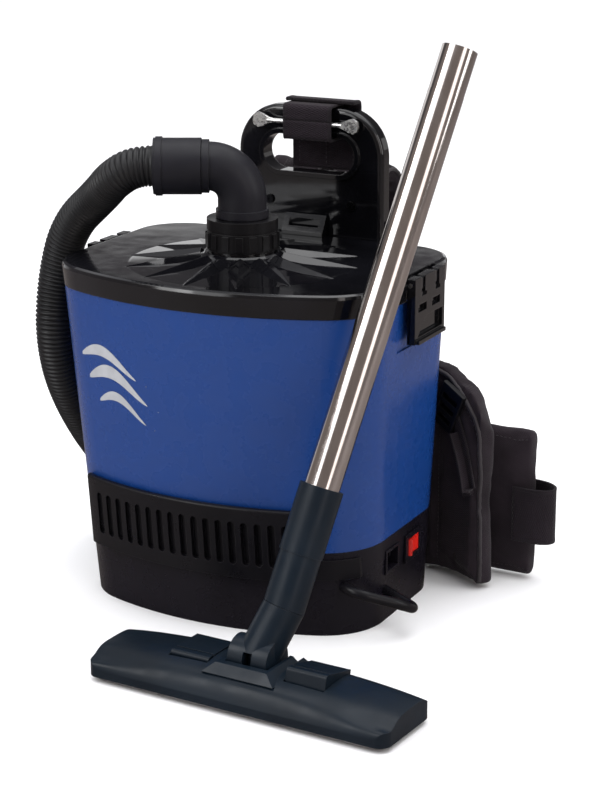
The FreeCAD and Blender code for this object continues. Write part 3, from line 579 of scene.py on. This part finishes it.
# ---- hose ----------------------------------------------------------------------------------------
# out of the elbow's cuff, down past the left of the drum, then over the floor behind the harness
HOSE_ROUTE = [Vector(p) for p in (
    (-0.0726, -0.0462, 0.4195), (-0.0883, -0.0540, 0.4195), (-0.1111, -0.0545, 0.4052),
    (-0.1375, -0.0320, 0.3858), (-0.1800, -0.0239, 0.3499), (-0.1952, -0.0254, 0.2958),
    (-0.1966, -0.0311, 0.2394), (-0.1975, -0.0083, 0.1773), (-0.1996, 0.0598, 0.0964),
    (-0.2100, 0.1650, 0.0194), (-0.2140, 0.2900, 0.0194), (-0.1780, 0.3950, 0.0194),
    (-0.0900, 0.4580, 0.0194), (0.0150, 0.4520, 0.0204), (0.0840, 0.3780, 0.0238))]
HOSE_R = 0.0190
RIB, RIB_DEPTH, ROWS_PER_RIB = 0.0042, 0.0023, 6
PLAIN_END = 0.006
hose_line = spline_points(HOSE_ROUTE, RIB / ROWS_PER_RIB)


def rib_section(along):
    """Round-crested corrugations that grow from a plain end in the elbow's cuff."""
    wave = 0.5 + 0.5 * math.cos(2 * math.pi * along / RIB)
    grown = min(1.0, along / PLAIN_END)
    return ring(HOSE_R - RIB_DEPTH * (1 - wave ** 0.6) * grown, 28)


hose = add("hose_corrugated", sweep_section("hose_corrugated", hose_line, rib_section, (0, 0, 1)))
finish_piece(hose, MATS["hose_black"], None)
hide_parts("hose")
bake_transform(hose)

# ---- padded fabric: remeshed, blown up as cloth, then sewn ---------------------------------------
SEAM_GRIP = 0.004
CLOTH_FRAMES = 20
CREASE_SIZE = 0.035


def bake(obj):
    """Applies the modifiers."""
    new = bpy.data.meshes.new_from_object(obj.evaluated_get(bpy.context.evaluated_depsgraph_get()))
    old = obj.data
    obj.modifiers.clear()
    obj.data = new
    bpy.data.meshes.remove(old)
    new.polygons.foreach_set("use_smooth", [True] * len(new.polygons))


def even_copy(name, node, voxel, draw_in, shape=None):
    """Evenly meshed closed copy of a CAD solid, drawn in a little so that it has room to swell."""
    mesh = shape or NODES[node].data.copy()
    if not shape:
        mesh.transform(NODES[node].matrix_world)
    mesh.materials.clear()
    bm = bmesh.new()
    bm.from_mesh(mesh)
    bmesh.ops.remove_doubles(bm, verts=bm.verts, dist=1e-6)
    bm.to_mesh(mesh)
    bm.free()
    obj = add(name, mesh)
    remesh = obj.modifiers.new("even", "REMESH")
    remesh.mode = "VOXEL"
    remesh.voxel_size = voxel
    bake(obj)
    for v, n in zip(obj.data.vertices, [v.normal.copy() for v in obj.data.vertices]):
        v.co -= n * draw_in
    return obj


def coords(mesh):
    """The points of a mesh as rows of an array."""
    out = np.empty(len(mesh.vertices) * 3, dtype=np.float32)
    mesh.vertices.foreach_get("co", out)
    return out.reshape(-1, 3).astype(np.float64)


def from_lines(co, lines):
    """Distance of every point to the nearest of some polylines."""
    best = np.full(len(co), np.inf)
    for line in lines:
        for start, end in zip(line, line[1:]):
            start, end = np.array(start), np.array(end)
            run = end - start
            t = np.clip(((co - start) @ run) / max(run @ run, 1e-12), 0, 1)
            best = np.minimum(best, np.linalg.norm(co - start - t[:, None] * run, axis=1))
    return best


def puff(obj, pressure, cap, held):
    """Blows the closed mesh up as cloth held along its seams; no point moves more than cap."""
    rest = coords(obj.data)
    cloth = obj.modifiers.new("cloth", "CLOTH")
    settings = cloth.settings
    settings.quality = 4
    settings.use_pressure = True
    settings.uniform_pressure_force = pressure
    settings.effector_weights.gravity = 0.0
    settings.tension_stiffness = settings.compression_stiffness = 12
    settings.bending_stiffness = 0.4
    if held:
        group = obj.vertex_groups.new(name="held")
        near = np.nonzero(from_lines(rest, held) < SEAM_GRIP)[0]
        group.add([int(i) for i in near], 1.0, "REPLACE")
        settings.vertex_group_mass = "held"
    cloth.point_cache.frame_end = CLOTH_FRAMES
    scene = bpy.context.scene
    for frame_number in range(1, CLOTH_FRAMES + 1):
        scene.frame_set(frame_number)
    blown = obj.evaluated_get(bpy.context.evaluated_depsgraph_get()).to_mesh()
    moved = coords(blown) - rest
    length = np.linalg.norm(moved, axis=1)
    moved *= (np.minimum(length, cap) / np.maximum(length, 1e-9))[:, None]
    obj.modifiers.clear()
    obj.vertex_groups.clear()
    obj.data.vertices.foreach_set("co", (rest + moved).astype(np.float32).ravel())
    obj.data.update()
    scene.frame_set(1)


def soften(obj, rounds):
    """Rounds off the voxel steps."""
    smooth = obj.modifiers.new("soft", "SMOOTH")
    smooth.factor, smooth.iterations = 0.5, rounds
    bake(obj)


def finer(obj):
    """One level of subdivision."""
    obj.modifiers.new("finer", "SUBSURF").levels = 1
    bake(obj)


def press(obj, lines, depth, width):
    """Draws a seam channel into the surface along each line."""
    near = from_lines(coords(obj.data), lines)
    for i in np.nonzero(near < width)[0]:
        v = obj.data.vertices[int(i)]
        v.co -= v.normal * float(depth * (1 - (near[i] / width) ** 2) ** 2)
    obj.data.update()


def wrinkle(obj, amount):
    """Slack in the cloth: slow uneven creases along the surface normals."""
    for v, n in zip(obj.data.vertices, [v.normal.copy() for v in obj.data.vertices]):
        p = v.co / CREASE_SIZE
        height = noise.noise(p) + 0.5 * noise.noise(p * 2.1) + 0.25 * noise.noise(p * 4.3)
        v.co += n * (amount * height)
    obj.data.update()


def tree_of(obj):
    """Search tree of the surface, to lay seams and stitches on."""
    bm = bmesh.new()
    bm.from_mesh(obj.data)
    tree = BVHTree.FromBMesh(bm)
    bm.free()
    return tree


def padded_piece(node, body, voxel, pressure, cap, held=(), channels=(), depth=0.0, width=0.008,
                 draw_in=0.0015, rounds=3, crease=0.0006, shape=None, cloth="pad_fabric"):
    """Padded piece in place of a CAD solid: blown up with its seams held, its channels pressed in."""
    obj = even_copy(node + "_padded", node, voxel, draw_in, shape)
    soften(obj, rounds)
    puff(obj, pressure, cap, held)
    finer(obj)
    if channels:
        press(obj, channels, depth, width)
    wrinkle(obj, crease)
    obj.data.polygons.foreach_set("use_smooth", [True] * len(obj.data.polygons))
    finish_piece(obj, MATS[cloth], body)
    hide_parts(node)
    return tree_of(obj)


# ---- sewing and webbing --------------------------------------------------------------------------
STITCH_PITCH, STITCH_LENGTH, THREAD_R = 0.0045, 0.0031, 0.00042
# a stitch from end to end: share of its length, fatness, and height in thread radii
STITCH = ((-0.5, 0.35, -0.7), (-0.32, 0.9, 0.1), (0.0, 1.0, 0.45), (0.32, 0.9, 0.1), (0.5, 0.35, -0.7))
STITCH_SIDES = 6
THREAD_FLATNESS = 0.8
# half of a tape's section: place across its width, thickness beside its middle's
TAPE = ((-0.5, 0.15), (-0.49, 1.15), (-0.46, 1.15), (-0.43, 1.0), (-0.25, 1.0), (0.0, 1.0), (0.25, 1.0),
        (0.43, 1.0), (0.46, 1.15), (0.49, 1.15), (0.5, 0.15))


def lay(tree, line, lift, step):
    """The line dropped onto the nearest surface: (points, normals)."""
    points, normals = [], []
    for p in resample([Vector(q) for q in line], step):
        on, n, _, _ = tree.find_nearest(p)
        if n is None:
            continue
        points.append(on + n * lift)
        normals.append(n)
    return points, normals


def sewing(name, tree, lines, body):
    """Rows of stitches, each a short thread that dips into the cloth at both ends."""
    verts, faces = [], []
    for line in lines:
        points, normals = lay(tree, line, 0.0, STITCH_PITCH)
        for before, at, after, n in zip(points, points[1:], points[2:], normals[1:]):
            t = (after - before).normalized()
            side = t.cross(n).normalized()
            base = len(verts)
            for along, fat, high in STITCH:
                middle = at + t * (along * STITCH_LENGTH) + n * (high * THREAD_R)
                verts += [middle + side * (a * fat) + n * (b * fat * THREAD_FLATNESS)
                          for a, b in ring(THREAD_R, STITCH_SIDES)]
            for k in range(len(STITCH) - 1):
                for m in range(STITCH_SIDES):
                    a = base + STITCH_SIDES * k + m
                    b = base + STITCH_SIDES * k + (m + 1) % STITCH_SIDES
                    faces.append((a, b, b + STITCH_SIDES, a + STITCH_SIDES))
    return finish_piece(add(name, mesh_from(name, verts, faces)), MATS["thread"], body)


def piping(name, tree, line, radius, body, closed=False):
    """A fabric-covered cord sewn along an edge, with a fine twist in its cover."""
    points, normals = lay(tree, line, radius * 0.35, 0.002)
    if closed:
        points.append(points[0])

    def section(along):
        return ring(radius * (1 + 0.05 * math.sin(2 * math.pi * along / 0.0028)), 10)
    obj = add(name, sweep_section(name, points, section, normals[0], caps=not closed))
    return finish_piece(obj, MATS["thread"], body)


def strap(name, node, line, width, thick, across, body, sway=0.0):
    """Woven webbing in place of a CAD solid: flat faces, thicker selvedges, a slight sway."""
    face = [(thick / 2 * fat, place * width) for place, fat in TAPE]
    outline = face + [(-a, b) for a, b in reversed(face)]

    def section(along):
        shift = sway * math.sin(along * 90 + 1.3)
        return [(a + shift, b) for a, b in outline]
    obj = add(name, sweep_section(name, list(line), section, across))
    finish_piece(obj, MATS["webbing"], body)
    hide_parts(node)
    return obj


# ---- harness pads, with their plan and side views in mm ------------------------------------------
PAD_Y = 146.6  # the back pad's face on the back plate
LINE_STEP = 0.003  # in metres, between the points of a webbing or a seam


def mm(x, y, z):
    return Vector((x * MM, y * MM, z * MM))


def beside(line, out, upright):
    """The line moved out mm to the left of its run, seen with upright towards the eye."""
    return [p + t.cross(upright).normalized() * -out * MM
            for p, (t, _, _) in zip(line, transport(line, upright))]


def plan(points, z, out=0.0):
    """A level line above a plan path, set out sideways."""
    line = spline_points([mm(x, y, z) for x, y in points], LINE_STEP)
    return beside(line, out, UP) if out else line


def slab(points, thick, z0, z1):
    """Upright slab along a plan path, with full rounded long edges."""
    r, half = thick * MM / 2, (z1 - z0) * MM / 2
    angles = [math.radians(12 + 15 * k) for k in range(24)]
    outline = [(r * math.cos(a), math.copysign(half - r, math.sin(a)) + r * math.sin(a)) for a in angles]
    return sweep_section("slab", plan(points, (z0 + z1) / 2), lambda along: outline, UP)


def back_pad():
    """Quilted in three fields, bolster down the middle, piped all round."""
    back_y, edge_y = PAD_Y + 27, PAD_Y + 16
    quilt = [[mm(a, back_y, z), mm(b, back_y, z)] for a, b in ((-92, -44), (44, 92)) for z in (90, 175, 260)]
    quilt += [[mm(x, back_y, 8), mm(x, back_y, 338)] for x in (-46, 46)]
    quilt += [[mm(-38, back_y + 9, z), mm(38, back_y + 9, z)] for z in (130, 195, 260)]
    tree = padded_piece("back_pad", "housing", voxel=0.0055, pressure=3.5, cap=0.005, held=quilt,
                        channels=quilt, depth=0.0035, width=0.010, draw_in=0.002)
    sewing("back_pad_stitches", tree, quilt, "housing")
    edge = [mm(x, edge_y, z) for x, z in ((-90, 3), (90, 3), (96, 10), (96, 337), (90, 344), (-90, 344),
                                          (-96, 337), (-96, 10), (-90, 3))]
    piping("back_pad_piping", tree, edge, 0.0022, "housing", closed=True)


def shoulder_strap(node, x0):
    """Two channels and bound edges; x0 is the strap's left edge."""
    arch = [(PAD_Y + dy, z) for dy, z in ((0.2, 366), (34.2, 400), (76.2, 366), (88.2, 290), (78.2, 190),
                                          (42.2, 120))]

    def run(x, out):
        return beside(spline_points([mm(x, y, z) for y, z in arch], 0.004), out, RIGHT)
    rows = [run(x0 + 19, 7.0), run(x0 + 41, 7.0)]
    tree = padded_piece(node, "housing", voxel=0.0045, pressure=3.0, cap=0.004, held=rows,
                        channels=rows, depth=0.0022)
    sewing(node + "_stitches", tree, rows, "housing")
    for k, x in enumerate((x0 + 0.5, x0 + 59.5)):
        piping(node + "_binding_%d" % k, tree, run(x, 0.0), 0.0018, "housing")


def belt_sleeve_right():
    """Soft flat sleeve, hemmed top and bottom, with an upright crease behind the hip pad."""
    way = [(104, PAD_Y + 16), (152, 160), (233, 153)]
    hems = [plan(way, z, -14)[8:] for z in (10, 146)]
    valley = [[mm(158, 146.5, z) for z in (3, 60, 110, 153)]]
    closed_sleeve = slab([(104, PAD_Y + 16), (152, 160), (234.5, 153)], 21, 2, 154)
    tree = padded_piece("belt_sleeve_right", "belt_r", voxel=0.004, pressure=2.4, cap=0.0035,
                        held=valley, channels=hems + valley, depth=0.0016, width=0.006, draw_in=0.0008,
                        rounds=4, crease=0.0011, shape=closed_sleeve)
    sewing("sleeve_right_stitches", tree, hems, "belt_r")


def hip_pad_right():
    """Arched top, piped edge, one row of stitching inside the piping."""
    face = plan([(126, 136.8), (168, 126), (206, 101)], 100, -13)
    arched_top = ((0.02, 213), (0.30, 212), (0.50, 205), (0.72, 190), (0.88, 172), (0.985, 152))

    def top_line(drop):
        over = [(face[min(len(face) - 1, round(share * (len(face) - 1)))], z) for share, z in arched_top]
        return spline_points([Vector((p.x, p.y, (z - drop) * MM)) for p, z in over], 0.004)
    rows = [top_line(9), [mm(146, 116, z) for z in (8, 80, 150, 200)]]
    tree = padded_piece("hip_pad_right", "belt_r", voxel=0.0045, pressure=3.0, cap=0.004,
                        held=rows, channels=rows, depth=0.0020)
    sewing("hip_pad_stitches", tree, rows, "belt_r")
    front_edge = [mm(205, 92, z) for z in (120, 80, 40, 8)]
    piping("hip_pad_piping", tree, top_line(0) + front_edge, 0.0020, "belt_r")


def belt_sleeve_left():
    """Short wing with a hem top and bottom."""
    rows = [plan([(-104, PAD_Y + 16), (-132, 172), (-150, 192)], z, 14) for z in (12, 144)]
    tree = padded_piece("belt_sleeve_left", "belt_l", voxel=0.0045, pressure=2.6, cap=0.004,
                        channels=rows, depth=0.0014, width=0.006, draw_in=0.0012)
    sewing("sleeve_left_stitches", tree, rows, "belt_l")


back_pad()
shoulder_strap("shoulder_strap_left", -66)
shoulder_strap("shoulder_strap_right", 6)
belt_sleeve_right()
hip_pad_right()
belt_sleeve_left()


# ---- webbing -------------------------------------------------------------------------------------
def belt_loops():
    """The webbing that goes round each wing's end."""
    right = [mm(x, y, 70) for x, y in ((217, 139.3), (232, 137.0), (248, 137.5), (256.6, 143), (257, 151),
                                       (253, 159), (240, 168.3), (222, 170))]
    left = [mm(x, y, 70) for x, y in ((-139.5, 200.6), (-124, 206), (-108, 200))]
    strap("belt_loop_right_web", "belt_loop_right", spline_points(right, LINE_STEP), 0.056, 0.0024, UP,
          "belt_r", sway=0.0003)
    strap("belt_loop_left_web", "belt_loop_left", spline_points(left, LINE_STEP), 0.056, 0.0024, UP, "belt_l")


def strap_wrap():
    """Webbing round the rod and the top bar of the back plate."""
    way = ((120.6, 442), (120.6, 452), (121, 457), (126, 457), (144, 457), (148, 457), (148.4, 452),
           (148.4, 436), (148.4, 427), (148, 424), (144, 424), (126, 424), (121, 424), (120.6, 428),
           (120.6, 442))
    line = spline_points([mm(2, y, z) for y, z in way], LINE_STEP)
    strap("strap_wrap_web", "strap_wrap", line, 0.052, 0.0022, RIGHT, "housing")


def top_strap():
    """Wide strap up the back of the handle slot and over the plate's top edge."""
    way = ((150.6, 392), (150.6, 430), (150.6, 452), (150, 460), (144, 460.1), (134.5, 460.1))
    line = spline_points([mm(9, y, z) for y, z in way], LINE_STEP)
    wide = strap("top_strap_web", "top_strap", line, 0.074, 0.0030, RIGHT, "housing", sway=0.0003)
    rows = [[mm(x, 149, z) for z in (394, 420, 452)] for x in (-20, 9, 38)]
    rows.append([mm(x, 140, 461.5) for x in (-24, 10, 42)])
    sewing("top_strap_stitches", tree_of(wide), rows, "housing")


def strap_tail():
    """Loose end of the shoulder webbing below the ladder lock, folded back on itself."""
    way = ((163, 110, 168), (168, 108, 158), (176, 103, 140), (183, 98.5, 118), (188, 95.5, 100),
           (191, 94.5, 97.5), (191.5, 94.8, 102), (187, 97.8, 120), (179.5, 102.6, 141), (172, 106.5, 156))
    line = spline_points([mm(*p) for p in way], LINE_STEP)
    strap("strap_tail_right_web", "strap_tail_right", line, 0.024, 0.0015, Vector((0.84, -0.54, 0.45)),
          "belt_r")


belt_loops()
strap_wrap()
top_strap()
strap_tail()


# ---- dust bag and filter inside the drum ---------------------------------------------------------
def pleated_filter():
    """Felt drawn in and out into pleats round its middle."""
    pleats, depth = 48, 0.0008
    felt = even_copy("filter_cloth_pleated", "filter_cloth", 0.0045, 0.0005)
    finer(felt)
    middle = sum((v.co for v in felt.data.vertices), Vector()) / len(felt.data.vertices)
    for v, n in zip(felt.data.vertices, [v.normal.copy() for v in felt.data.vertices]):
        d = v.co - middle
        v.co -= n * (depth * (1 + math.sin(pleats * math.atan2(d.y, d.x))))
    finish_piece(felt, MATS["filter_felt"], "housing")
    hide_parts("filter_cloth")


padded_piece("dust_bag", "housing", voxel=0.006, pressure=4.0, cap=0.006, draw_in=0.003,
             crease=0.0022, cloth="bag_paper")
pleated_filter()

# ---- bristles of the floor tool ------------------------------------------------------------------
# in metres; the head of the tool is turned by YAW on the floor
YAW, TOOL_AT = math.radians(-4.6), Vector((0.1245, -0.227, 0.0))
ROWS_Y = (-0.031, 0.0126)
TUFTS, TUFT_PITCH, FIRST_TUFT = 66, 0.004, -0.130
HAIRS, TUFT_R, GOLDEN_TURN = 9, 0.0016, 2.399
HAIR_TOP, HAIR_MIDDLE, HAIR_TIP = 0.0100, 0.0050, 0.0008
STRIP_X, STRIP_Y, STRIP_Z = (-0.133, 0.133), (-0.0025, 0.0025), (0.0092, 0.0111)
BOX_FACES = ((0, 1, 3, 2), (4, 6, 7, 5), (0, 4, 5, 1), (2, 3, 7, 6), (0, 2, 6, 4), (1, 5, 7, 3))


def in_tool(x, y, z):
    """A place on the floor tool, x along its head, in the frame of the whole object."""
    c, s = math.cos(YAW), math.sin(YAW)
    return Vector((c * x - s * y, s * x + c * y, z)) + TOOL_AT


def hair(verts, faces, row, number, x, y):
    """One tapered square hair that leans a little its own way."""
    lean_x = 0.0011 * noise.noise(Vector((x * 900, row, number)))
    lean_y = 0.0010 * noise.noise(Vector((x * 700, row + 5, number * 2)))
    tip = HAIR_TIP + 0.0005 * noise.noise(Vector((x * 1100, number, row)))
    base = len(verts)
    for z, radius, lean in ((HAIR_TOP, 0.00028, 0.0), (HAIR_MIDDLE, 0.00026, 0.35), (tip, 0.00014, 1.0)):
        verts += [in_tool(x + lean_x * lean + a, y + lean_y * lean + b, z) for a, b in ring(radius, 4)]
    for k in range(2):
        for m in range(4):
            p, q = base + 4 * k + m, base + 4 * k + (m + 1) % 4
            faces.append((p, q, q + 4, p + 4))


def bristle_rows():
    """Tufts of splayed hairs in two rows, each row under its holding strip."""
    verts, faces = [], []
    for row, row_y in enumerate(ROWS_Y):
        for tuft in range(TUFTS):
            for h in range(HAIRS):
                turn, out = h * GOLDEN_TURN + tuft, TUFT_R * math.sqrt(h / HAIRS)
                hair(verts, faces, row, h, FIRST_TUFT + TUFT_PITCH * tuft + out * math.cos(turn),
                     row_y + out * math.sin(turn))
        base = len(verts)
        verts += [in_tool(x, row_y + y, z) for x in STRIP_X for y in STRIP_Y for z in STRIP_Z]
        faces += [tuple(base + i for i in face) for face in BOX_FACES]
    return mesh_from("bristle_tufts", verts, faces)


tufts = finish_piece(add("bristle_tufts", bristle_rows()), MATS["bristle"], "brushes")
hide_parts("brush_strips")

# ---- mark on the drum ----------------------------------------------------------------------------
# each stream of air: left end x and z, length, sag and half width, all in metres
STREAMS = ((-0.124, 0.248, 0.080, 0.010, 0.0068), (-0.116, 0.227, 0.084, 0.012, 0.0080),
           (-0.104, 0.206, 0.066, 0.010, 0.0056))
STREAM_STEPS, STREAM_ACROSS = 48, 7
PRINT_LIFT = 0.0003


def swoosh_mark():
    """Three tapering streams of air, printed on the bowed front of the drum."""
    shell = NODES["drum_shell"]
    tree = BVHTree.FromObject(shell, bpy.context.evaluated_depsgraph_get())
    place = shell.matrix_world
    back_to = place.inverted()
    inward = (back_to.to_3x3() @ Vector((0, 1, 0))).normalized()
    verts, faces = [], []
    for x0, z0, span, sag, fat in STREAMS:
        base = len(verts)
        for i in range(STREAM_STEPS + 1):
            t = i / STREAM_STEPS
            x = x0 + span * t
            middle = z0 + sag * math.sin(math.pi * 1.5 * t) - 0.008 * t
            taper = math.sin(math.pi * min(1.0, t * 1.15 + 0.02)) ** 0.6 * (1 - 0.55 * t) if t < 0.985 else 0
            half = fat * taper or 0.0002
            for k in range(STREAM_ACROSS):
                z = middle + half * (2 * k / (STREAM_ACROSS - 1) - 1)
                hit, n, _, _ = tree.ray_cast(back_to @ Vector((x, -0.35, z)), inward)
                verts.append(place @ hit + (place.to_3x3() @ n).normalized() * PRINT_LIFT)
        for i in range(STREAM_STEPS):
            for k in range(STREAM_ACROSS - 1):
                a = base + i * STREAM_ACROSS + k
                faces.append((a, a + STREAM_ACROSS, a + STREAM_ACROSS + 1, a + 1))
    return mesh_from("drum_mark", verts, faces)


finish_piece(add("drum_mark", swoosh_mark()), MATS["badge_grey"], "housing")
